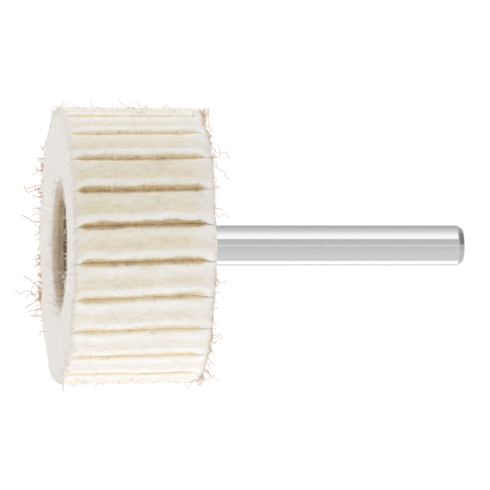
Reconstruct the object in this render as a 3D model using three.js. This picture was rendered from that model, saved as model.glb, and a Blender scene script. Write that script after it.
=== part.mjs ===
// Mounted felt flap wheel, 40 x 20 mm, for polishing with a hand-held spindle.
//
// 24 felt flaps stand round a cast resin core, and a ground steel shank is cast into the core.
// Millimetres, +Z up. The origin is the centre of the shank's free end. The shank runs along -Y
// to the rear of the wheel, and the wheel's open front looks along -Y.

import * as THREE from 'three';

// Wheel
const WHEEL_RADIUS = 20.5;
const WHEEL_WIDTH = 20.6;
const FLAP_COUNT = 24;
const CORNER_RADIUS = 1.2; // wear has rounded the rim's front and rear corners
const REAR_TAPER = 0.2; // the rear, held closer to the shank's fixing, is a little smaller

// Felt flaps. A joint between two flaps is a straight line that misses the axis by JOINT_OFFSET.
const ROOT_RADIUS = 10;
const JOINT_OFFSET = 4.5;
const ROOT_GAP = 0.3;
const MOUTH_GAP = 0.5;
const LIP_RADIUS = 1;
const FIRST_JOINT = THREE.MathUtils.degToRad(8);
const LAY_SPREAD = THREE.MathUtils.degToRad(2); // flaps are laid wider on one side of the wheel
const TWIST = THREE.MathUtils.degToRad(2); // how far a flap leans round the axis over the width
const SIDE_SCATTER = 0.15; // hand-laid flaps don't line up exactly at the faces
const SCATTER_START = 1; // radians, the first flap's place in the scatter's sine
const SCATTER_STEP = 2.4; // radians from one flap's place to the next

// Shank
const SHANK_RADIUS = 3;
const SHANK_LENGTH = 40; // outside the wheel
const SHANK_CHAMFER = 0.5;
const SHANK_CHAMFER_LENGTH = 0.85;
const GRIP_GROOVES = 2; // turned into the buried end, so that the resin holds it
const GRIP_GROOVE_DEPTH = 0.7;
const GRIP_GROOVE_WIDTH = 2.5;
const GRIP_GROOVE_PITCH = 6;

// Core
const CORE_GAP = 0.3; // bond line between the resin and its neighbours
const RECESS_DEPTH = 2.3; // front and rear faces of the resin lie below the felt
const CORE_EDGE = 0.4;

const REAR_Y = -SHANK_LENGTH;
const FRONT_Y = REAR_Y - WHEEL_WIDTH;
const CORE_FRONT_Y = FRONT_Y + RECESS_DEPTH;
const CORE_REAR_Y = REAR_Y - RECESS_DEPTH;
const CORE_MIDDLE_Y = (CORE_FRONT_Y + CORE_REAR_Y) / 2;
const CORE_RADIUS = ROOT_RADIUS - CORE_GAP;
const ROUND_SEGMENTS = 32;

const FELT_COLOURS = [0xf0ece2, 0xece7db, 0xf2eee6];
const STEEL = new THREE.MeshStandardMaterial({ color: 0xc9cbcc, roughness: 0.22, metalness: 1 });
const RESIN = new THREE.MeshStandardMaterial({ color: 0x4c4638, roughness: 0.5, metalness: 0 });

function polar(radius, angle) {
  return new THREE.Vector2(radius * Math.cos(angle), radius * Math.sin(angle));
}

// Angle of a joint line at a radius, counted from where the line meets the rim.
function sweep(radius) {
  return Math.acos(JOINT_OFFSET / radius) - Math.acos(JOINT_OFFSET / WHEEL_RADIUS);
}

// Where joint number `index` meets the rim.
function jointAngle(index) {
  const even = FIRST_JOINT + (index * 2 * Math.PI) / FLAP_COUNT;
  return even + LAY_SPREAD * Math.sin(even);
}

// Point on one side of a flap. `side` is 1 at the flap's first joint and -1 at its second.
function sidePoint(index, side, radius) {
  const outward = (radius - ROOT_RADIUS) / (WHEEL_RADIUS - ROOT_RADIUS);
  const gap = THREE.MathUtils.lerp(ROOT_GAP, MOUTH_GAP, outward);
  const slant = Math.asin(JOINT_OFFSET / radius);
  const clearance = gap / 2 / (radius * Math.cos(slant));
  return polar(radius, jointAngle(index) + sweep(radius) + side * clearance);
}

// Outline of a flap across the axis: a wedge with rounded lips, swept off the radius.
function flapOutline(index) {
  const lipStart = WHEEL_RADIUS - LIP_RADIUS;
  const firstRoot = sidePoint(index, 1, ROOT_RADIUS);
  const firstLip = sidePoint(index, 1, lipStart);
  const firstCorner = sidePoint(index, 1, WHEEL_RADIUS);
  const secondCorner = sidePoint(index + 1, -1, WHEEL_RADIUS);
  const secondLip = sidePoint(index + 1, -1, lipStart);
  const secondRoot = sidePoint(index + 1, -1, ROOT_RADIUS);
  const lipAngle = LIP_RADIUS / WHEEL_RADIUS;
  const crownStart = firstCorner.angle() + lipAngle;
  let crownEnd = secondCorner.angle() - lipAngle;
  if (crownEnd < crownStart) {
    crownEnd += 2 * Math.PI;
  }
  const crown = polar(WHEEL_RADIUS, crownStart);
  const shape = new THREE.Shape();
  shape.moveTo(firstRoot.x, firstRoot.y);
  shape.lineTo(firstLip.x, firstLip.y);
  shape.quadraticCurveTo(firstCorner.x, firstCorner.y, crown.x, crown.y);
  shape.absarc(0, 0, WHEEL_RADIUS, crownStart, crownEnd, false);
  shape.quadraticCurveTo(secondCorner.x, secondCorner.y, secondLip.x, secondLip.y);
  shape.lineTo(secondRoot.x, secondRoot.y);
  return shape;
}

// How far the rim lies inside its full radius at a distance from the nearer face.
function cornerInset(fromFace) {
  const left = THREE.MathUtils.clamp(CORNER_RADIUS - fromFace, 0, CORNER_RADIUS);
  return CORNER_RADIUS - Math.sqrt(CORNER_RADIUS ** 2 - left ** 2);
}

// Rounds the rim's corners, tapers the rear and twists the flap round the axis.
// The flap runs from z = 0 at the rear face to z = WHEEL_WIDTH at the front face.
function bendFlap(geometry) {
  const position = geometry.getAttribute('position');
  for (let i = 0; i < position.count; i += 1) {
    const x = position.getX(i);
    const y = position.getY(i);
    const z = position.getZ(i);
    const radius = Math.hypot(x, y);
    const outward = Math.max(radius - ROOT_RADIUS, 0) / (WHEEL_RADIUS - ROOT_RADIUS);
    const taper = REAR_TAPER * (1 - z / WHEEL_WIDTH);
    const inset = cornerInset(Math.min(z, WHEEL_WIDTH - z));
    const lean = TWIST * (0.5 - z / WHEEL_WIDTH);
    const moved = polar(radius - outward * (taper + inset), Math.atan2(y, x) + lean);
    position.setXYZ(i, moved.x, moved.y, z);
  }
  geometry.computeVertexNormals();
  return geometry;
}

// The bevel has no width here: it only puts extra rings near the faces for the rounded corners.
function flapGeometry(index) {
  const geometry = new THREE.ExtrudeGeometry(flapOutline(index), {
    depth: WHEEL_WIDTH - 2 * CORNER_RADIUS,
    steps: 2,
    bevelThickness: CORNER_RADIUS,
    bevelSize: 0,
    bevelSegments: 3,
    curveSegments: 2,
  });
  geometry.translate(0, 0, CORNER_RADIUS);
  return bendFlap(geometry);
}

function feltFlap(index) {
  const material = new THREE.MeshStandardMaterial({
    color: FELT_COLOURS[index % FELT_COLOURS.length],
    roughness: 0.95,
    metalness: 0,
  });
  const flap = new THREE.Mesh(flapGeometry(index), material);
  flap.name = `felt_flap_${String(index + 1).padStart(2, '0')}`;
  flap.position.z = SIDE_SCATTER * Math.sin(SCATTER_STEP * index + SCATTER_START);
  return flap;
}

// Groove edges along the buried part of the shank, from the front to the rear.
function grooveEdges() {
  const edges = [];
  for (let i = 0; i < GRIP_GROOVES; i += 1) {
    const middle = CORE_MIDDLE_Y + (i - (GRIP_GROOVES - 1) / 2) * GRIP_GROOVE_PITCH;
    edges.push([middle - GRIP_GROOVE_WIDTH / 2, middle + GRIP_GROOVE_WIDTH / 2]);
  }
  return edges;
}

function shank() {
  const floor = SHANK_RADIUS - GRIP_GROOVE_DEPTH;
  const profile = [new THREE.Vector2(0, CORE_FRONT_Y)];
  profile.push(new THREE.Vector2(SHANK_RADIUS - SHANK_CHAMFER, CORE_FRONT_Y));
  profile.push(new THREE.Vector2(SHANK_RADIUS, CORE_FRONT_Y + SHANK_CHAMFER));
  for (const [front, rear] of grooveEdges()) {
    profile.push(new THREE.Vector2(SHANK_RADIUS, front));
    profile.push(new THREE.Vector2(floor, front));
    profile.push(new THREE.Vector2(floor, rear));
    profile.push(new THREE.Vector2(SHANK_RADIUS, rear));
  }
  profile.push(new THREE.Vector2(SHANK_RADIUS, -SHANK_CHAMFER_LENGTH));
  profile.push(new THREE.Vector2(SHANK_RADIUS - SHANK_CHAMFER, 0));
  profile.push(new THREE.Vector2(0, 0));
  const mesh = new THREE.Mesh(new THREE.LatheGeometry(profile, ROUND_SEGMENTS), STEEL);
  mesh.name = 'shank';
  return mesh;
}

// The resin follows the shank and its grip grooves at the bond line's distance.
function resinCore() {
  const bore = SHANK_RADIUS + CORE_GAP;
  const ridge = SHANK_RADIUS - GRIP_GROOVE_DEPTH + CORE_GAP;
  const profile = [new THREE.Vector2(bore, CORE_FRONT_Y)];
  profile.push(new THREE.Vector2(CORE_RADIUS - CORE_EDGE, CORE_FRONT_Y));
  profile.push(new THREE.Vector2(CORE_RADIUS, CORE_FRONT_Y + CORE_EDGE));
  profile.push(new THREE.Vector2(CORE_RADIUS, CORE_REAR_Y - CORE_EDGE));
  profile.push(new THREE.Vector2(CORE_RADIUS - CORE_EDGE, CORE_REAR_Y));
  profile.push(new THREE.Vector2(bore, CORE_REAR_Y));
  for (const [front, rear] of grooveEdges().reverse()) {
    profile.push(new THREE.Vector2(bore, rear - CORE_GAP));
    profile.push(new THREE.Vector2(ridge, rear - CORE_GAP));
    profile.push(new THREE.Vector2(ridge, front + CORE_GAP));
    profile.push(new THREE.Vector2(bore, front + CORE_GAP));
  }
  profile.push(profile[0].clone());
  const mesh = new THREE.Mesh(new THREE.LatheGeometry(profile, ROUND_SEGMENTS), RESIN);
  mesh.name = 'resin_core';
  return mesh;
}

// Local z of the ring of flaps is the wheel's axis, from the rear face to the front face.
function flapRing() {
  const ring = new THREE.Group();
  ring.position.y = REAR_Y;
  ring.rotation.x = Math.PI / 2;
  for (let index = 0; index < FLAP_COUNT; index += 1) {
    ring.add(feltFlap(index));
  }
  return ring;
}

const wheel = new THREE.Group();
wheel.add(shank());
wheel.add(resinCore());
wheel.add(flapRing());

export default wheel;
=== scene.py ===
"""Felt flap polishing wheel: felt, fibres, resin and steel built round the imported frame, in metres."""

import math

import bpy
import numpy as np
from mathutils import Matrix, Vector, noise


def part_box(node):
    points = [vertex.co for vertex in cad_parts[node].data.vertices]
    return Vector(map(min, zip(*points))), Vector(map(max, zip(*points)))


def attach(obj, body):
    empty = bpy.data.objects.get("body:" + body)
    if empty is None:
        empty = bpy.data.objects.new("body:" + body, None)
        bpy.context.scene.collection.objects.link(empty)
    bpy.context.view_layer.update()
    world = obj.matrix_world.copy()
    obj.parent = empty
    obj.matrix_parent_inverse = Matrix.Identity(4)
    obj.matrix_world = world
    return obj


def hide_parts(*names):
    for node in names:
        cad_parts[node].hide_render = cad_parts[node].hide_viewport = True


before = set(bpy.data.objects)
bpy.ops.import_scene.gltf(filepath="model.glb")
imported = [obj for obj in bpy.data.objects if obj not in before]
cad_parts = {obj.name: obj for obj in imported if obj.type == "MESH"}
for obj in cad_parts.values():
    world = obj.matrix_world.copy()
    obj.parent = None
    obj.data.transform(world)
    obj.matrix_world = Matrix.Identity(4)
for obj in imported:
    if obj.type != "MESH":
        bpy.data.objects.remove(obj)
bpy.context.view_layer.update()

MM = 0.001
SEED = 24

# Places read from the frame, in metres
FLAPS = sorted(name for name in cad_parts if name.startswith("felt_flap_"))
FLAP_BOXES = [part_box(name) for name in FLAPS]
SHANK_LOW, SHANK_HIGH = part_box("shank")
CORE_LOW, CORE_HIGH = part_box("resin_core")
FLAP_COUNT = len(FLAPS)
WHEEL_WIDTH = FLAP_BOXES[0][1].y - FLAP_BOXES[0][0].y
WHEEL_RADIUS = max(high.x for _, high in FLAP_BOXES)
WHEEL_CENTRE_Y = sum((low.y + high.y) / 2 for low, high in FLAP_BOXES) / FLAP_COUNT
WHEEL_REAR_Y = WHEEL_CENTRE_Y + WHEEL_WIDTH / 2
SHANK_RADIUS = SHANK_HIGH.x

# The design's own numbers for how the flaps lie and the shank ends, which its boxes don't show
ROOT_RADIUS = 10 * MM
JOINT_OFFSET = 4.5 * MM
FIRST_JOINT = math.radians(8)
LAY_SPREAD = math.radians(2)
TWIST = math.radians(2)
REAR_TAPER = 0.2 * MM
SHANK_CHAMFER = 0.5 * MM
SHANK_CHAMFER_LENGTH = 0.85 * MM

# Felt
FELT_HEIGHT = WHEEL_RADIUS - ROOT_RADIUS
PILE = 0.3 * MM  # the felt's nap stands out of both faces
HOLE_PILE = 0.45 * MM  # and into the hole near its mouth
OVERLAP = 0.03 * MM  # below the grooves the flaps press into each other
LUMP = 0.09 * MM  # height of the pressed felt's lumps

# Grooves between the flaps, at their widest and deepest
GROOVE_OPENING = 1.32 * MM
GROOVE_DEPTH = 0.62 * MM
GROOVE_HOOK = 0.37 * MM  # how far a groove's bottom lies off its joint
HOOK_END = 5 * MM  # this far below the rim the hook has faded out
GROOVE_WANDER = 0.13 * MM
REAR_SHUT = 0.8 * MM  # the grooves stop this much sooner at the rear than at the front

# Radii of a flap's rounded edges; the lips beside its grooves have one across and one down
FIRST_LIP = (0.8 * MM, 0.32 * MM)
SECOND_LIP = (0.5 * MM, 0.25 * MM)
FRONT_EDGE = 0.7 * MM
REAR_EDGE = 1.15 * MM
HOLE_EDGE = 0.45 * MM
JOINT_EDGE = 0.06 * MM

# Sides of the wheel, as the angle of their middle and how far they spread, in degrees
DEEP_SHADED_SIDE = (12, 35)  # the grooves are deeper, and their painted shade is darker
GAPING_SIDE = (32, 40)  # they are wider
WARM_SHADE_SIDE = (20, 51)  # painted warm shade: the felt is coloured darker and yellower here
DIM_LIP_SIDE = (32, 26)  # the painted highlight on the flaps' second lips is weaker here

# Camera
FACE_TURN = 8.3  # degrees from the wheel's side towards its front
VIEW_WIDTH = 72.8 * MM
SIGHT_Y, SIGHT_Z = -32.7 * MM, 0.08 * MM  # the middle of the view

# Fineness of a flap's mesh
ACROSS_STEPS = 26
HEIGHT_STEPS = 36
WIDTH_STEPS = 76


def smoothstep(low, high, value):
    t = np.clip((value - low) / (high - low), 0, 1)
    return t * t * (3 - 2 * t)


# ---------------------------------------------------------------- materials


def new_material(name):
    """A material, its node tree and its Principled shader."""
    material = bpy.data.materials.new(name)
    material.use_nodes = True
    return material, material.node_tree, material.node_tree.nodes["Principled BSDF"]


def add(tree, kind, **settings):
    """A node with the given settings; a value for a socket is given under the socket's name."""
    node = tree.nodes.new(kind)
    for key, value in settings.items():
        if hasattr(node, key):
            setattr(node, key, value)
        else:
            node.inputs[key.replace("_", " ")].default_value = value
    return node


def stretched_noise(tree, stretch, scale, detail, rough=0.55):
    """Noise on the object's own coordinates, drawn out along the wheel's axis."""
    place = add(tree, "ShaderNodeTexCoord")
    mapping = add(tree, "ShaderNodeMapping", Scale=(1, 1 / stretch, 1))
    pattern = add(tree, "ShaderNodeTexNoise", Scale=scale, Detail=detail, Roughness=rough)
    tree.links.new(place.outputs["Object"], mapping.inputs["Vector"])
    tree.links.new(mapping.outputs["Vector"], pattern.inputs["Vector"])
    return pattern.outputs["Fac"]


def ramp(tree, source, *stops):
    """A colour ramp of (position, colour) stops on a source socket."""
    node = tree.nodes.new("ShaderNodeValToRGB")
    elements = node.color_ramp.elements
    while len(elements) < len(stops):
        elements.new(0.5)
    for element, (position, colour) in zip(elements, stops):
        element.position = position
        element.color = (*colour, 1)
    tree.links.new(source, node.inputs["Fac"])
    return node.outputs["Color"]


def blend_colours(tree, kind, factor, first, second):
    node = add(tree, "ShaderNodeMix", data_type="RGBA", blend_type=kind)
    for socket, value in ((0, factor), (6, first), (7, second)):
        if isinstance(value, bpy.types.NodeSocket):
            tree.links.new(value, node.inputs[socket])
        else:
            node.inputs[socket].default_value = value
    return node.outputs[2]


def attribute(tree, name):
    return add(tree, "ShaderNodeAttribute", attribute_name=name).outputs["Fac"]


def felt_material():
    material, tree, shader = new_material("wool_felt")
    streaks = stretched_noise(tree, 2.5, 1500, 8, 0.68)
    white = ramp(tree, streaks, (0.3, (0.85, 0.80, 0.75)), (0.7, (0.93, 0.90, 0.865)))
    # painted warm shade: a darker, yellower felt colour, mixed in on one side of the wheel
    warm_shade_colour = ramp(tree, streaks, (0.32, (0.77, 0.69, 0.51)), (0.68, (0.91, 0.85, 0.70)))
    outer = blend_colours(tree, "MIX", attribute(tree, "painted_warm_shade"), white, warm_shade_colour)
    # painted highlight: whiter felt along the flaps' lips
    outer = blend_colours(tree, "MIX", attribute(tree, "lip"), outer, (0.97, 0.955, 0.925, 1))
    layers = add(tree, "ShaderNodeTexNoise", noise_dimensions="1D", Scale=7, Detail=2)
    tree.links.new(attribute(tree, "layer"), layers.inputs["W"])
    layer_tint = ramp(
        tree, layers.outputs["Fac"], (0.35, (0.885, 0.865, 0.855)), (0.6, (0.97, 0.97, 0.965))
    )
    outer = blend_colours(tree, "MULTIPLY", attribute(tree, "cut"), outer, layer_tint)
    # painted shade in the grooves: gold felt for the shade and the light bounced between the flaps
    groove_shade_colour = ramp(
        tree,
        stretched_noise(tree, 4, 2600, 4),
        (0.3, (0.63, 0.43, 0.19)),
        (0.7, (0.92, 0.73, 0.43)),
    )
    pale_groove_shade_colour = ramp(tree, streaks, (0.3, (0.86, 0.72, 0.48)), (0.7, (0.97, 0.86, 0.66)))
    # painted groove shade: paler on most of the wheel, darker on the side of the deep grooves
    groove_shade_colour = blend_colours(tree, "MIX", attribute(tree, "deep_shaded"), pale_groove_shade_colour, groove_shade_colour)
    outer = blend_colours(tree, "MIX", attribute(tree, "groove"), outer, groove_shade_colour)
    tan = ramp(
        tree,
        stretched_noise(tree, 9, 1900, 5),
        (0.3, (0.97, 0.74, 0.50)),
        (0.7, (1.0, 0.87, 0.67)),
    )
    colour = blend_colours(tree, "MIX", attribute(tree, "recess"), outer, tan)
    tree.links.new(colour, shader.inputs["Base Color"])
    fibres = stretched_noise(tree, 1.6, 4200, 6, 0.7)
    bump = add(tree, "ShaderNodeBump", Strength=0.5, Distance=0.15 * MM)
    tree.links.new(fibres, bump.inputs["Height"])
    tree.links.new(bump.outputs["Normal"], shader.inputs["Normal"])
    shader.inputs["Roughness"].default_value = 0.95
    shader.inputs["Specular IOR Level"].default_value = 0.15
    shader.inputs["Subsurface Weight"].default_value = 0.25
    shader.inputs["Subsurface Radius"].default_value = (1.0, 0.72, 0.4)
    shader.inputs["Subsurface Scale"].default_value = 0.8 * MM
    shader.inputs["Sheen Weight"].default_value = 0.2
    shader.inputs["Sheen Roughness"].default_value = 0.6
    return material


def plain_fibre(name, colour):
    material, _, shader = new_material(name)
    shader.inputs["Base Color"].default_value = (*colour, 1)
    shader.inputs["Roughness"].default_value = 0.8
    shader.inputs["Specular IOR Level"].default_value = 0.2
    return material


def steel_material():
    material, tree, shader = new_material("ground_steel")
    place = add(tree, "ShaderNodeTexCoord")
    mapping = add(tree, "ShaderNodeMapping", Scale=(0.12, 1, 0.12))
    rings = add(tree, "ShaderNodeTexNoise", Scale=6000, Detail=4, Roughness=0.6)
    tree.links.new(place.outputs["Object"], mapping.inputs["Vector"])
    tree.links.new(mapping.outputs["Vector"], rings.inputs["Vector"])
    tint = ramp(
        tree, rings.outputs["Fac"], (0.3, (0.53, 0.535, 0.54)), (0.7, (0.575, 0.58, 0.585))
    )
    ends = blend_colours(tree, "MIX", attribute(tree, "end"), tint, (0.43, 0.43, 0.44, 1))
    tree.links.new(ends, shader.inputs["Base Color"])
    spread = add(tree, "ShaderNodeMapRange", From_Min=0.3, From_Max=0.7, To_Min=0.09, To_Max=0.12)
    tree.links.new(rings.outputs["Fac"], spread.inputs["Value"])
    tree.links.new(spread.outputs["Result"], shader.inputs["Roughness"])
    bump = add(tree, "ShaderNodeBump", Strength=0.03, Distance=0.01 * MM)
    tree.links.new(rings.outputs["Fac"], bump.inputs["Height"])
    tree.links.new(bump.outputs["Normal"], shader.inputs["Normal"])
    shader.inputs["Metallic"].default_value = 1.0
    return material


def resin_material():
    material, tree, shader = new_material("cast_resin")
    colour = ramp(
        tree,
        stretched_noise(tree, 1, 700, 6, 0.6),
        (0.3, (0.17, 0.128, 0.072)),
        (0.7, (0.27, 0.208, 0.122)),
    )
    tree.links.new(colour, shader.inputs["Base Color"])
    pits = stretched_noise(tree, 1, 1800, 4, 0.6)
    bump = add(tree, "ShaderNodeBump", Strength=0.4, Distance=0.1 * MM)
    tree.links.new(pits, bump.inputs["Height"])
    tree.links.new(bump.outputs["Normal"], shader.inputs["Normal"])
    shader.inputs["Roughness"].default_value = 0.45
    return material


# ---------------------------------------------------------------- mesh helpers


def mesh_object(name, points, faces, material):
    """A smooth mesh object from points (n, 3) and one or more face arrays."""
    mesh = bpy.data.meshes.new(name)
    lists = [face for block in faces for face in np.asarray(block).tolist()]
    mesh.from_pydata(np.asarray(points, float).tolist(), [], lists)
    mesh.update()
    mesh.shade_smooth()
    mesh.materials.append(material)
    piece = bpy.data.objects.new(name, mesh)
    bpy.context.scene.collection.objects.link(piece)
    return piece


def normals_of(piece):
    values = np.empty(len(piece.data.vertices) * 3, np.float32)
    piece.data.vertices.foreach_get("normal", values)
    return values.reshape(-1, 3).astype(float)


def set_attribute(piece, name, values):
    attribute = piece.data.attributes.new(name, "FLOAT", "POINT")
    attribute.data.foreach_set("value", np.asarray(values, np.float32))


def lathe(name, profile, material, segments=128):
    """A closed body turned round Y from (radius, y) points that start and end on the axis."""
    rings = profile[1:-1]
    angles = np.linspace(0, 2 * math.pi, segments, endpoint=False)
    points = [(0, profile[0][1], 0)]
    for radius, y in rings:
        points += [(radius * math.cos(a), y, radius * math.sin(a)) for a in angles]
    points.append((0, profile[-1][1], 0))
    last = len(points) - 1
    around = np.arange(segments)
    after = (around + 1) % segments
    quads = []
    for row in range(len(rings) - 1):
        low, high = 1 + row * segments, 1 + (row + 1) * segments
        quads.append(np.stack([low + around, high + around, high + after, low + after], 1))
    end = 1 + (len(rings) - 1) * segments
    fans = [
        np.stack([np.zeros_like(around), 1 + around, 1 + after], 1),
        np.stack([np.full_like(around, last), end + after, end + around], 1),
    ]
    return mesh_object(name, points, quads + fans, material)


def rounded(corners, radius, steps):
    """Replaces each inner corner of an open (radius, y) outline with an arc-like curve."""
    outline = [corners[0]]
    for before, corner, after in zip(corners, corners[1:], corners[2:]):
        corner_v = Vector(corner)
        back, on = Vector(before) - corner_v, Vector(after) - corner_v
        reach = min(radius, back.length / 2.01, on.length / 2.01)
        start, stop = corner_v + back.normalized() * reach, corner_v + on.normalized() * reach
        for i in range(steps + 1):
            t = i / steps
            outline.append(tuple(start * (1 - t) ** 2 + corner_v * 2 * t * (1 - t) + stop * t**2))
    outline.append(corners[-1])
    return outline


# ---------------------------------------------------------------- felt flaps


def sweep(radius):
    return np.arccos(JOINT_OFFSET / radius) - math.acos(JOINT_OFFSET / WHEEL_RADIUS)


def joint_angle(index):
    even = FIRST_JOINT + index * 2 * math.pi / FLAP_COUNT
    return even + LAY_SPREAD * math.sin(even)


def nearness(angle, side):
    """1 in the middle of a side of the wheel, falling smoothly to 0 away from it."""
    middle, spread = side
    turn = (angle - math.radians(middle) + math.pi) % (2 * math.pi) - math.pi
    return np.exp(-((turn / math.radians(spread)) ** 2))


def along_noise(along, wavelength, number):
    """Smooth noise along the wheel, the same on both sides of a joint."""
    stations, where = np.unique(np.round(along, 7), return_inverse=True)
    row = (number % FLAP_COUNT) * 7.3
    found = [noise.noise(Vector((y / wavelength, row, 0.5))) for y in stations]
    return np.array(found)[where]


def from_faces(along):
    """How far the grooves have opened at a distance along the wheel: shut at both faces."""
    nearer = np.minimum(along - REAR_SHUT, WHEEL_WIDTH - along)
    return smoothstep(-0.2 * MM, 2.0 * MM, nearer)


def groove_depth(number, along):
    deep_shaded = nearness(joint_angle(number % FLAP_COUNT), DEEP_SHADED_SIDE)
    return GROOVE_DEPTH * (0.05 + (0.2 + 0.82 * deep_shaded) * from_faces(along))


def groove(number, height, along):
    """How far a groove has opened into the flaps on its two sides, and how far its joint
    wanders, in metres."""
    angle = joint_angle(number % FLAP_COUNT)
    deep_shaded = nearness(angle, DEEP_SHADED_SIDE)
    gape = (0.84 + 0.18 * nearness(angle, GAPING_SIDE)) * from_faces(along)
    share = np.clip(height / groove_depth(number, along), 0, 1)
    opening = GROOVE_OPENING * gape * (1 - share**1.8)
    first = 0.5 + 0.12 * deep_shaded + 0.22 * along_noise(along, 3 * MM, number)
    second = 0.36 + 0.1 * along_noise(along, 4 * MM, number + 0.3)
    wander = GROOVE_WANDER * along_noise(along, 7 * MM, number + 0.5)
    hook = GROOVE_HOOK * (0.5 + 0.5 * deep_shaded) * share * from_faces(along)
    hook *= smoothstep(HOOK_END, GROOVE_DEPTH, height)
    return opening * first, opening * second, wander + hook


def flap_face(index, across):
    """Where a flap's faces lie along the axis: neighbours run into each other at their joints."""
    middle = [(low.y + high.y) / 2 - WHEEL_CENTRE_Y for low, high in FLAP_BOXES]
    before, own = middle[index - 1], middle[index]
    after = middle[(index + 1) % FLAP_COUNT]
    first = (before + own) / 2 * (1 - smoothstep(0, 0.5, across))
    second = (own + after) / 2 * smoothstep(0.5, 1, across)
    return first + second + own * (smoothstep(0, 0.5, across) - smoothstep(0.5, 1, across))


def flap_space(index, across, height, along):
    """Places points of a flap: across from 0 to 1, height below the rim and distance along the
    axis from the rear face, both in metres."""
    outward = np.clip(1 - height / FELT_HEIGHT, 0, None)
    reach = FELT_HEIGHT - REAR_TAPER * (1 - along / WHEEL_WIDTH)
    nearer = np.minimum(along, WHEEL_WIDTH - along)
    mouth = smoothstep(2.0 * MM, 0.9 * MM, nearer) * smoothstep(0.15, 0, outward)
    radius = ROOT_RADIUS + reach * outward - HOLE_PILE * mouth
    lean = TWIST * (0.5 - along / WHEEL_WIDTH)
    wall = radius * np.cos(np.arcsin(np.clip(JOINT_OFFSET / radius, 0, 1)))
    first_open, _, first_wander = groove(index, height, along)
    _, second_open, second_wander = groove(index + 1, height, along)
    first_move = first_open - OVERLAP / 2 + first_wander * outward
    second_move = second_open - OVERLAP / 2 - second_wander * outward
    first = joint_angle(index) + first_move / wall
    turn = 2 * math.pi * ((index + 1) // FLAP_COUNT)
    second = joint_angle((index + 1) % FLAP_COUNT) + turn - second_move / wall
    angle = sweep(radius) + lean + first + (second - first) * across
    stretch = 1 + 2 * PILE / WHEEL_WIDTH * smoothstep(0, 0.3, outward)
    y = WHEEL_CENTRE_Y + flap_face(index, across) * outward
    y += (WHEEL_WIDTH / 2 - along) * stretch
    return np.stack([radius * np.cos(angle), y, radius * np.sin(angle)], 1)


def box_grid(counts):
    """A box's surface as unit coordinates and quads, with every edge's vertices shared."""
    n, m, k = counts
    index = {}
    points, quads = [], []

    def vertex(i, j, l):
        key = (i, j, l)
        if key not in index:
            index[key] = len(points)
            points.append((i / n, j / m, l / k))
        return index[key]

    def sheet(steps_a, steps_b, place, flip):
        for a in range(steps_a):
            for b in range(steps_b):
                corner = [place(a, b), place(a + 1, b), place(a + 1, b + 1), place(a, b + 1)]
                quad = [vertex(*c) for c in corner]
                quads.append(quad[::-1] if flip else quad)

    sheet(m, k, lambda a, b: (0, a, b), False)
    sheet(m, k, lambda a, b: (n, a, b), True)
    sheet(n, k, lambda a, b: (a, 0, b), True)
    sheet(n, k, lambda a, b: (a, m, b), False)
    sheet(n, m, lambda a, b: (a, b, 0), False)
    sheet(n, m, lambda a, b: (a, b, k), True)
    return np.array(points), np.array(quads)


def finer_ends(steps, share):
    """Spreads even steps from 0 to 1 so that they are finer at both ends."""
    return share * (1 - np.cos(math.pi * steps)) / 2 + (1 - share) * steps


def edge_way(value, length, low_edge, high_edge):
    """How far into the rounded edge at either end: 0 outside it, -1 or 1 at the very end."""
    way = np.clip((value - (length - high_edge)) / high_edge, 0, 1)
    return way - np.clip((low_edge - value) / low_edge, 0, 1)


def round_off(unit):
    """Rounds a unit box into a flap: across as a share, height and distance along in metres."""
    height = FELT_HEIGHT * finer_ends(unit[:, 1] ** 1.3, 0.92)
    along = WHEEL_WIDTH * finer_ends(unit[:, 2], 0.5)
    radius = WHEEL_RADIUS - height
    pitch = 2 * math.pi / FLAP_COUNT * radius
    thick = pitch * np.cos(np.arcsin(JOINT_OFFSET / radius))
    across = thick * finer_ends(unit[:, 0], 0.5)
    near_rim = 1 - smoothstep(0.3 * MM, 2.6 * MM, height)
    near_hole = smoothstep(FELT_HEIGHT - 2 * MM, FELT_HEIGHT - 0.5 * MM, height)
    open_rim = near_rim * from_faces(along) ** 1.5
    joint = JOINT_EDGE * (1 - 0.75 * near_rim)
    first = joint + (FIRST_LIP[0] - joint) * open_rim
    second = joint + (SECOND_LIP[0] - joint) * open_rim
    edge = np.where(along < WHEEL_WIDTH / 2, REAR_EDGE, FRONT_EDGE)
    face = JOINT_EDGE + (edge - JOINT_EDGE) * near_rim + (HOLE_EDGE - JOINT_EDGE) * near_hole
    side_way = edge_way(across, thick, first, second)
    face_way = edge_way(along, WHEEL_WIDTH, face, face)
    side = np.where(side_way < 0, first, second)
    lip = np.where(side_way < 0, FIRST_LIP[1], SECOND_LIP[1])
    lip += (edge - lip) * np.where(side_way == 0, 1, (1 - from_faces(along)) ** 1.6)
    height_way = edge_way(height, FELT_HEIGHT, lip, HOLE_EDGE)
    height_edge = np.where(height_way < 0, lip, HOLE_EDGE)
    way = np.stack([side_way, height_way, face_way], 1)
    unit_way = way / np.linalg.norm(way, axis=1, keepdims=True)
    moved = (unit_way - way) * np.stack([side, height_edge, face], 1)
    return (across + moved[:, 0]) / thick, height + moved[:, 1], along + moved[:, 2]


def felt_lumps(points):
    """How far the pressed felt stands proud of its smooth shape, in metres."""
    found = np.empty(len(points))
    for i, (x, y, z) in enumerate(points / MM):
        broad = noise.noise(Vector((x / 2.2, y / 5, z / 2.2)))
        fine = noise.noise(Vector((x / 0.6, y / 1.5, z / 0.6)))
        found[i] = broad + fine / 2
    return LUMP * found


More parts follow.
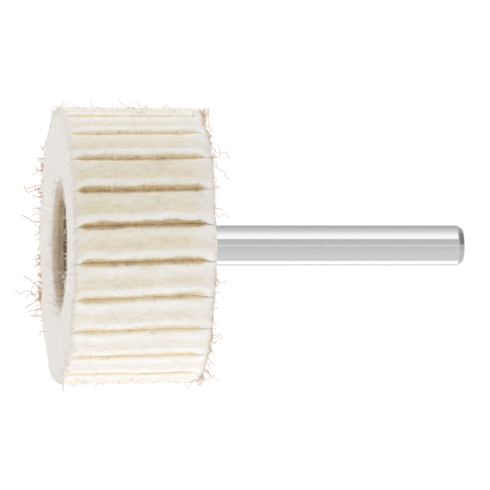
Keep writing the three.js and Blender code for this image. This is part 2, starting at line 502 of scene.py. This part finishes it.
UNIT_BOX, BOX_QUADS = box_grid((ACROSS_STEPS, HEIGHT_STEPS, WIDTH_STEPS))
FLAP_ACROSS, FLAP_HEIGHT, FLAP_ALONG = round_off(UNIT_BOX)
ON_SIDE = (UNIT_BOX[:, 0] == 0) | (UNIT_BOX[:, 0] == 1)
ON_ROOT = UNIT_BOX[:, 1] == 1
INSIDE = np.minimum(FLAP_ALONG, WHEEL_WIDTH - FLAP_ALONG)


def painted_warm_shade(points):
    """Where warm shade is painted into the felt, darker and yellower: on that side, less so near its
    rear.
    """
    rear = smoothstep(5 * MM, 0.5 * MM, WHEEL_REAR_Y - points[:, 1])
    side = nearness(np.arctan2(points[:, 2], points[:, 0]), WARM_SHADE_SIDE)
    return side * (1 - 0.85 * rear) * smoothstep(0.1 * MM, 1.3 * MM, INSIDE)


def colour_flap(piece, index, points, depth, mottle):
    """Sets what the felt's material reads, from depth in a groove, 0 to 1, and the felt's lumps. Depth
    in a groove carries the painted groove shade; the lips carry a painted highlight and one side a
    painted warm shade.
    """
    angle = np.arctan2(points[:, 2], points[:, 0])
    set_attribute(piece, "groove", depth)
    set_attribute(piece, "recess", ON_ROOT * smoothstep(0.1 * MM, 0.9 * MM, INSIDE))
    set_attribute(piece, "painted_warm_shade", painted_warm_shade(points) * (1 + 0.35 * mottle))
    # the side of the deep grooves, where the painted groove shade is darker
    set_attribute(piece, "deep_shaded", nearness(angle, DEEP_SHADED_SIDE))
    # painted highlight along both lips, weaker on the second lips on one side
    lip = 0.9 * smoothstep(0.34, 0.18, FLAP_ACROSS)
    lip += (0.8 - 0.5 * nearness(angle, DIM_LIP_SIDE)) * smoothstep(0.52, 0.82, FLAP_ACROSS)
    lip *= smoothstep(0.4 * MM, 0.1 * MM, FLAP_HEIGHT)
    set_attribute(piece, "lip", lip * (1 - depth) * (0.85 - 0.5 * mottle))
    set_attribute(piece, "layer", index + FLAP_ACROSS)
    cut = smoothstep(0.9 * MM, 0.2 * MM, INSIDE) * (FLAP_HEIGHT < FELT_HEIGHT - 0.5 * MM)
    set_attribute(piece, "cut", 0.15 + 0.85 * cut)


def felt_flap(index, material):
    """One flap: its swept shape with its grooves, then the lumps of pressed felt on it."""
    name = FLAPS[index].replace("felt_flap", "felt_pad")
    points = flap_space(index, FLAP_ACROSS, FLAP_HEIGHT, FLAP_ALONG)
    piece = mesh_object(name, points, [BOX_QUADS], material)
    normals = normals_of(piece)
    first, second = (groove_depth(number, FLAP_ALONG) for number in (index, index + 1))
    share = FLAP_HEIGHT / np.where(FLAP_ACROSS < 0.5, first, second)
    lumps = felt_lumps(points)
    lumps[ON_SIDE & (share > 0.9)] = 0
    points = points + normals * lumps[:, None]
    piece.data.vertices.foreach_set("co", points.astype(np.float32).ravel())
    piece.data.update()
    # how deep in a groove, for the painted groove shade
    depth = smoothstep(0.08, 0.75, share) * from_faces(FLAP_ALONG)
    depth *= (ON_SIDE | (FLAP_HEIGHT < 1.2 * MM)) & ~ON_ROOT
    colour_flap(piece, index, points, depth, lumps / LUMP)
    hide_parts(FLAPS[index])
    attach(piece, "root")
    return piece


# ---------------------------------------------------------------- fibres


def tubes(paths, radii, sides=3):
    """Closed thin tubes along paths (n, steps, 3): points and quads."""
    count, steps, _ = paths.shape
    tangent = np.gradient(paths, axis=1)
    tangent /= np.linalg.norm(tangent, axis=2, keepdims=True)
    helper = np.where(np.abs(tangent[..., :1]) < 0.8, [[1.0, 0, 0]], [[0, 1.0, 0]])
    across = np.cross(tangent, helper)
    across /= np.linalg.norm(across, axis=2, keepdims=True)
    upright = np.cross(tangent, across)
    taper = np.ones(steps)
    taper[-1] = 0.35
    size = radii[:, None, None] * taper[None, :, None]
    rings = []
    for corner in range(sides):
        turn = 2 * math.pi * corner / sides
        rings.append(paths + (across * math.cos(turn) + upright * math.sin(turn)) * size)
    points = np.stack(rings, 2).reshape(-1, 3)
    start = (np.arange(count) * steps * sides)[:, None]
    row = (np.arange(steps - 1) * sides)[None, :]
    base = (start + row).ravel()
    quads = []
    for corner in range(sides):
        after = (corner + 1) % sides
        quads.append(
            np.stack([base + corner, base + after, base + sides + after, base + sides + corner], 1)
        )
    ends = [
        start + np.arange(sides)[None, ::-1],
        start + (steps - 1) * sides + np.arange(sides)[None, :],
    ]
    return points, quads + ends


def grow(rng, roots, ways, lengths, steps, curl, wobble):
    """Fibre paths that start along ways and curl; curl is in radians per millimetre."""
    count = len(roots)
    axis = rng.normal(size=(count, 3))
    axis /= np.linalg.norm(axis, axis=1, keepdims=True)
    turn = rng.choice([-1, 1], count) * rng.uniform(0.4, 1.7, count)
    turn *= curl * lengths / MM / (steps - 1)
    way = ways.copy()
    place = roots.copy()
    path = [place.copy()]
    for _ in range(steps - 1):
        angle = turn[:, None] + rng.normal(size=(count, 1)) * wobble / (steps - 1)
        way = (
            way * np.cos(angle)
            + np.cross(axis, way) * np.sin(angle)
            + axis * np.sum(axis * way, 1, keepdims=True) * (1 - np.cos(angle))
        )
        way /= np.linalg.norm(way, axis=1, keepdims=True)
        place = place + way * (lengths / (steps - 1))[:, None]
        path.append(place.copy())
    return np.stack(path, 1)


def fibre_piece(name, paths, radii, material):
    points, faces = tubes(paths, radii)
    piece = mesh_object(name, points, faces, material)
    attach(piece, "root")
    return piece


def unit(vectors):
    return vectors / np.linalg.norm(vectors, axis=1, keepdims=True)


class Skin:
    """The felt's outer quads, from which fibres grow."""

    def __init__(self, pads):
        quads = []
        for piece in pads:
            places = np.empty(len(piece.data.vertices) * 3, np.float32)
            piece.data.vertices.foreach_get("co", places)
            quads.append(places.reshape(-1, 3).astype(float)[BOX_QUADS])
        self.corners = np.concatenate(quads)
        across = np.cross(
            self.corners[:, 2] - self.corners[:, 0], self.corners[:, 3] - self.corners[:, 1]
        )
        self.area = np.linalg.norm(across, axis=1) / 2
        self.normal = unit(across)
        self.centre = self.corners.mean(1)
        count = len(pads)
        self.height = np.tile(FLAP_HEIGHT[BOX_QUADS].mean(1), count)
        self.along = np.tile(FLAP_ALONG[BOX_QUADS].mean(1), count)
        self.inside = np.minimum(self.along, WHEEL_WIDTH - self.along)
        self.side = np.tile(ON_SIDE[BOX_QUADS].all(1), count)
        self.root = np.tile(ON_ROOT[BOX_QUADS].all(1), count)
        self.angle = np.arctan2(self.centre[:, 2], self.centre[:, 0])
        self.mark_regions()

    def mark_regions(self):
        """Which quads lie where on the wheel. The far side is the one away from the camera."""
        outer = ~self.side & ~self.root
        self.rim = outer & (self.height < 0.6 * MM)
        self.faces = outer & (self.inside < 0.5 * MM)
        self.hole_lip = (self.height > FELT_HEIGHT - 1 * MM) & (self.inside < 1.6 * MM)
        corner = (self.height < 1.3 * MM) & (self.inside < 1 * MM)
        self.corner = corner
        self.front = self.along > WHEEL_WIDTH / 2
        self.rear = self.along < WHEEL_WIDTH / 2
        x, z = self.centre[:, 0], self.centre[:, 2]
        end_face = np.abs(self.normal[:, 1]) > 0.6
        off_shank = np.where(x > 0, smoothstep(2.5 * MM, 6 * MM, np.abs(z)), 1)
        self.far_side = smoothstep(-12 * MM, -19 * MM, x)
        self.far_front = (corner & self.front & ~end_face) * self.far_side
        self.rear_edge = (corner & self.rear & end_face) * off_shank

    def sample(self, rng, count, likely):
        """Random points and normals on quads, weighted by area and by how likely each quad is."""
        weight = self.area * likely
        picks = rng.choice(len(weight), size=count, p=weight / weight.sum())
        u, v = rng.random((2, count, 1))
        a, b, c, d = self.corners[picks].transpose(1, 0, 2)
        return (a * (1 - u) + b * u) * (1 - v) + (d * (1 - u) + c * u) * v, self.normal[picks]


def frame_on(normals):
    """Directions on the surface: along the wheel's axis and round it."""
    round_it = unit(np.cross(normals, [0.0, 1.0, 0.0]) + [1e-9, 0, 0])
    return np.cross(round_it, normals), round_it


def nap(skin, name, count, likely, material, seed, length, thickness, lift=0.35, spread=1.2):
    """Short fibres lying half down on the felt, within an angle of the wheel's axis."""
    rng = np.random.default_rng(seed)
    points, normals = skin.sample(rng, count, likely)
    axis, around = frame_on(normals)
    turn = rng.normal(size=(count, 1)) * spread
    way = rng.choice([-1, 1], (count, 1)) * axis * np.cos(turn) + around * np.sin(turn)
    way = unit(way + normals * lift * rng.uniform(0.4, 1.6, (count, 1)))
    lengths = length * rng.uniform(0.5, 1.6, count)
    roots = points - normals * 0.03 * MM
    paths = grow(rng, roots, way, lengths, steps=4, curl=1.2, wobble=1)
    return fibre_piece(name, paths, rng.uniform(*thickness, count) * MM, material)


def loose(skin, name, count, likely, material, seed, length, thickness, out, back):
    """Long curly fibres that have worked out of the felt, outwards and back along the axis."""
    rng = np.random.default_rng(seed)
    points, normals = skin.sample(rng, count, likely)
    radial = unit(points * [1, 0, 1])
    way = radial * out + np.array([0, back, 0]) + normals * 0.6 + rng.normal(size=(count, 3)) * 0.4
    lengths = np.minimum(length * rng.lognormal(0, 0.75, count), 5 * length)
    roots = points - normals * 0.1 * MM
    paths = grow(rng, roots, unit(way), lengths, steps=22, curl=1.8, wobble=4.5)
    return fibre_piece(name, paths, rng.uniform(*thickness, count) * MM, material)


PALE_WOOL = plain_fibre("pale_wool", (0.94, 0.91, 0.84))
# painted shade: the grey, tan and pink fibres are darker than the white felt, for the dark outline along
# the wheel's edges and the shade among its nap
SHADED_GREY_WOOL = plain_fibre("shaded_grey_wool", (0.66, 0.60, 0.55))
SHADED_TAN_WOOL = plain_fibre("shaded_tan_wool", (0.72, 0.47, 0.29))
SHADED_PINK_WOOL = plain_fibre("shaded_pink_wool", (0.80, 0.57, 0.42))
SHADED_BROWN_WOOL = plain_fibre("shaded_brown_wool", (0.58, 0.38, 0.17))
SHADED_GOLDEN_WOOL = plain_fibre("shaded_golden_wool", (0.80, 0.60, 0.34))
STRAW_WOOL = plain_fibre("straw_wool", (0.88, 0.79, 0.66))

# Radii of fibres, in millimetres: the thinnest and the thickest
FINE = (0.012, 0.02)
MEDIUM = (0.018, 0.032)
COARSE = (0.022, 0.036)
EDGE_NAP = (0.025, 0.04)
HOLE_FIBRE = (0.025, 0.045)
PALE_FIBRE = (0.03, 0.05)
EDGE_FIBRE = (0.04, 0.065)


def short_nap(skin):
    """Nap on the rim, the faces and the corners, across the grooves' mouths and down in them. The grey
    nap and the gold and brown nap down the grooves are painted shade.
    """
    nap(skin, "nap_rim_a", 9500, skin.rim, PALE_WOOL, SEED, 0.5 * MM, FINE)
    # painted shade: greyer nap on the rim
    nap(skin, "nap_rim_b", 7000, skin.rim, SHADED_GREY_WOOL, SEED + 1, 0.35 * MM, FINE, 0.6)
    nap(skin, "nap_faces", 9000, skin.faces, PALE_WOOL, SEED + 2, 0.4 * MM, FINE, 0.5)
    shallow = (skin.height < 0.7 * MM) & (skin.inside > 1.5 * MM)
    mouths = shallow & (skin.side | (skin.height > 0.1 * MM))
    nap(skin, "nap_grooves", 8000, mouths, PALE_WOOL, SEED + 3, 0.6 * MM, MEDIUM, 0.5, 1.6)
    nap(skin, "nap_hole", 3500, skin.hole_lip, PALE_WOOL, SEED + 4, 0.5 * MM, COARSE, 0.6, 2.0)
    # painted shade: greyer nap on the corners, for the dark outline at the edges
    nap(skin, "nap_corners", 5000, skin.corner, SHADED_GREY_WOOL, SEED + 5, 0.26 * MM, FINE, 1.0, 2.0)
    sides = skin.side & (skin.height < 0.9 * MM) & (skin.height > 0.15 * MM)
    # painted shade: gold and brown nap down the grooves of the deep side
    depths = sides * nearness(skin.angle, DEEP_SHADED_SIDE) * (skin.inside > 1.2 * MM)
    nap(skin, "nap_depths", 4000, depths, SHADED_GOLDEN_WOOL, SEED + 9, 0.5 * MM, COARSE, 0.4, 0.9)
    deepest = depths * (skin.height > 0.3 * MM)
    nap(skin, "nap_deepest", 3000, deepest, SHADED_BROWN_WOOL, SEED + 11, 0.5 * MM, COARSE, 0.8, 1.2)


def hole_fibres(skin):
    """Longer fibres out of the hole's lips, most of them at the front and near the camera."""
    near_lip = smoothstep(0, 5 * MM, skin.centre[:, 0])
    front_lip = (skin.hole_lip & skin.front) * (0.25 + 0.75 * near_lip)
    loose(
        skin, "fibres_hole", 560, front_lip, PALE_WOOL, SEED + 10,
        0.55 * MM, HOLE_FIBRE, -0.8, -0.5,
    )
    rear_lip = skin.hole_lip & skin.rear
    loose(
        skin, "fibres_hole_rear", 250, rear_lip, PALE_WOOL, SEED + 12,
        0.5 * MM, HOLE_FIBRE, -0.8, 0.5,
    )


def edge_fibres(skin):
    """Tan nap on the corners, and longer fibres out of them and the rim's top and bottom. The tan and
    pink fibres are painted shade: darker wool for the dark outline along the wheel's edges.
    """
    edges = skin.rear_edge * 0.5 + skin.far_front
    nap(skin, "nap_edges", 1300, edges, SHADED_TAN_WOOL, SEED + 14, 0.35 * MM, EDGE_NAP, 1.2, 2.0)
    loose(
        skin, "fibres_front", 230, skin.far_front, SHADED_TAN_WOOL, SEED + 20,
        1.35 * MM, EDGE_FIBRE, 0.7, -0.8,
    )
    loose(
        skin, "fibres_rear", 250, skin.rear_edge, SHADED_PINK_WOOL, SEED + 21,
        1.2 * MM, EDGE_FIBRE, 0.5, 0.8,
    )
    loose(
        skin, "fibres_pale", 260, skin.corner * (1 - skin.far_side), PALE_WOOL, SEED + 13,
        0.6 * MM, PALE_FIBRE, 0.5, 0,
    )
    upright = smoothstep(0.9, 1, np.abs(np.sin(skin.angle)))
    loose(
        skin, "fibres_rim", 160, skin.rim * (0.02 + upright), STRAW_WOOL, SEED + 8,
        0.5 * MM, EDGE_FIBRE, 0.9, 0,
    )


# ---------------------------------------------------------------- core and shank


def resin_core(material):
    """The resin climbs a little up the felt at its edge, and round the shank's front end."""
    front, rear = CORE_LOW.y, CORE_HIGH.y
    wall = ROOT_RADIUS - 0.02 * MM
    climb = 0.5 * MM
    profile = [
        (0, front + 0.25 * MM),
        (SHANK_RADIUS * 0.8, front + 0.22 * MM),
        (SHANK_RADIUS + 0.5 * MM, front + 0.02 * MM),
        (SHANK_RADIUS + 1.6 * MM, front + 0.1 * MM),
        (wall - 1.6 * MM, front + 0.12 * MM),
        (wall - 0.5 * MM, front),
        (wall, front - climb),
        (wall, rear + climb),
        (wall - 0.5 * MM, rear),
        (wall - 1.6 * MM, rear - 0.12 * MM),
        (SHANK_RADIUS + 1.2 * MM, rear - 0.1 * MM),
        (SHANK_RADIUS + 0.3 * MM, rear + 0.12 * MM),
        (SHANK_RADIUS + 0.02 * MM, rear + 0.35 * MM),
        (SHANK_RADIUS + 0.02 * MM, rear - 1 * MM),
        (0, rear - 1 * MM),
    ]
    piece = lathe("resin_body", rounded(profile, 0.6 * MM, 3), material)
    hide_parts("resin_core")
    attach(piece, "root")
    return piece


def shank(material):
    """A ground rod. Only the turned chamfer at its free end is darker."""
    front, rear = SHANK_LOW.y, SHANK_HIGH.y
    profile = [
        (0, front),
        (SHANK_RADIUS - SHANK_CHAMFER, front),
        (SHANK_RADIUS, front + SHANK_CHAMFER),
        (SHANK_RADIUS, rear - SHANK_CHAMFER_LENGTH),
        (SHANK_RADIUS - SHANK_CHAMFER, rear),
        (0, rear),
    ]
    piece = lathe("ground_shank", rounded(profile, 0.25 * MM, 7), material, 160)
    places = np.array([tuple(vertex.co) for vertex in piece.data.vertices])
    from_end = rear - places[:, 1]
    turned = (from_end < SHANK_CHAMFER_LENGTH * 0.95) & (from_end > 0.01 * MM)
    set_attribute(piece, "end", turned)
    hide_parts("shank")
    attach(piece, "root")
    return piece


# ---------------------------------------------------------------- studio


def grey(level):
    return (level, level, level, 1)


def greys_round(*stops):
    """Ramp stops of grey levels at angles round the wheel's axis, in degrees: 0 is the camera's
    side and 90 is up."""
    return [((degrees + 180) / 360, grey(level)[:3]) for degrees, level in stops]


def from_to(tree, value, start, stop):
    """0 before a source socket reaches its start and 1 from its stop on."""
    node = add(tree, "ShaderNodeMapRange", From_Min=start, From_Max=stop)
    tree.links.new(value, node.inputs["Value"])
    return node.outputs["Result"]


def calculate(tree, operation, first, second=0):
    node = add(tree, "ShaderNodeMath", operation=operation)
    for socket, value in zip(node.inputs, (first, second)):
        if isinstance(value, bpy.types.NodeSocket):
            tree.links.new(value, socket)
        else:
            socket.default_value = value
    return node.outputs["Value"]


def wall_light(tree, x, y, z):
    """Walls that change with the angle round the wheel's axis. The strip of them that the shank's
    side mirrors has an overhead softbox."""
    around = from_to(tree, calculate(tree, "ARCTAN2", z, x), -math.pi, math.pi)
    room = greys_round(
        (-172, 1.02),
        (-90, 0.98),
        (-12, 1.08),
        (30, 0.72),
        (100, 0.73),
        (150, 0.72),
        (172, 1.02),
    )
    strip = greys_round(
        (-172, 1.02),
        (-10, 1.12),
        (-1, 1.1),
        (8, 0.92),
        (30, 0.82),
        (36, 0.92),
        (41, 1.75),
        (64, 1.6),
        (92, 1.08),
        (125, 0.8),
        (156, 0.53),
        (170, 1.02),
    )
    mirrored_y = math.sin(math.radians(FACE_TURN))
    off_strip = calculate(tree, "ABSOLUTE", calculate(tree, "SUBTRACT", y, mirrored_y))
    in_strip = from_to(tree, off_strip, 0.22, 0.14)
    return blend_colours(
        tree, "MIX", in_strip, ramp(tree, around, *room), ramp(tree, around, *strip)
    )


def world_light():
    """The walls' light, with darker and lighter end walls, a grey curtain behind the shank's end,
    and a white that only the camera sees behind the object."""
    world = bpy.data.worlds.new("studio")
    world.use_nodes = True
    tree = world.node_tree
    bpy.context.scene.world = world
    place = add(tree, "ShaderNodeTexCoord")
    parts = add(tree, "ShaderNodeSeparateXYZ")
    tree.links.new(place.outputs["Generated"], parts.inputs["Vector"])
    x, y, z = parts.outputs
    light = wall_light(tree, x, y, z)
    for end, level in ((-1, 0.51), (1, 1.02)):
        at_end = from_to(tree, y, 0.7 * end, 0.9 * end)
        light = blend_colours(tree, "MIX", at_end, light, grey(level))
    beyond_end = calculate(
        tree, "MULTIPLY", from_to(tree, x, -0.4, -0.2), from_to(tree, y, 0.6, 0.7)
    )
    curtain = calculate(tree, "MULTIPLY", beyond_end, from_to(tree, z, 0.04, 0.1))
    light = blend_colours(tree, "MIX", curtain, light, grey(0.45))
    seen = add(tree, "ShaderNodeLightPath").outputs["Is Camera Ray"]
    light = blend_colours(tree, "MIX", seen, light, grey(1.02))
    tree.links.new(light, tree.nodes["Background"].inputs["Color"])


def pale_floor():
    mesh = bpy.data.meshes.new("floor")
    reach, below = 1.2, -0.16
    corners = [(-reach, -reach, below), (reach, -reach, below)]
    corners += [(reach, reach, below), (-reach, reach, below)]
    mesh.from_pydata(corners, [], [(0, 1, 2, 3)])
    material, _, shader = new_material("pale_floor")
    shader.inputs["Base Color"].default_value = (0.93, 0.93, 0.925, 1)
    shader.inputs["Roughness"].default_value = 0.9
    shader.inputs["Emission Color"].default_value = (1, 1, 1, 1)
    shader.inputs["Emission Strength"].default_value = 0.12
    mesh.materials.append(material)
    floor = bpy.data.objects.new("floor", mesh)
    bpy.context.scene.collection.objects.link(floor)


def soft_light(name, turn, shift, distance, size, radiance, mirrored=False):
    """A panel of (length, height) metres at an angle round the wheel's axis, shifted along it."""
    back = Vector((math.cos(math.radians(turn)), 0, math.sin(math.radians(turn))))
    light = bpy.data.lights.new(name, "AREA")
    light.shape = "RECTANGLE"
    light.size, light.size_y = size
    light.energy = radiance * math.pi * size[0] * size[1]
    lamp = bpy.data.objects.new(name, light)
    lamp.location = Vector((0, WHEEL_CENTRE_Y + shift, 0)) + back * distance
    lamp.rotation_mode = "QUATERNION"
    lamp.rotation_quaternion = (-back).to_track_quat("-Z", "Y")
    lamp.visible_camera = False
    lamp.visible_glossy = mirrored
    bpy.context.scene.collection.objects.link(lamp)


def studio():
    """Pale walls, a pale floor, two soft lights from above and behind, and one from below."""
    bpy.context.scene.view_settings.view_transform = "Standard"
    world_light()
    pale_floor()
    soft_light("back_left", 125, -0.45, 0.45, (0.4, 0.4), 2.4)
    soft_light("back_right", 125, 0.45, 0.45, (0.4, 0.4), 2.6)
    soft_light("below", -115, 0.05, 0.14, (0.11, 0.08), 0.7, True)


def camera():
    """A long lens level with the axis, turned a little in front of the wheel's side."""
    azimuth = math.radians(90 - FACE_TURN)
    distance = 1.6
    target = Vector((0, SIGHT_Y, SIGHT_Z))
    data = bpy.data.cameras.new("camera")
    data.lens = data.sensor_width * distance / VIEW_WIDTH
    data.clip_end = 100
    eye = bpy.data.objects.new("camera", data)
    back = Vector((math.sin(azimuth), -math.cos(azimuth), 0))
    eye.location = target + back * distance
    eye.rotation_mode = "QUATERNION"
    eye.rotation_quaternion = (-back).to_track_quat("-Z", "Y")
    bpy.context.scene.collection.objects.link(eye)
    bpy.context.scene.camera = eye


# ---------------------------------------------------------------- the whole scene

camera()
studio()
felt = felt_material()
pads = [felt_flap(i, felt) for i in range(FLAP_COUNT)]
skin = Skin(pads)
short_nap(skin)
hole_fibres(skin)
edge_fibres(skin)
resin_core(resin_material())
shank(steel_material())
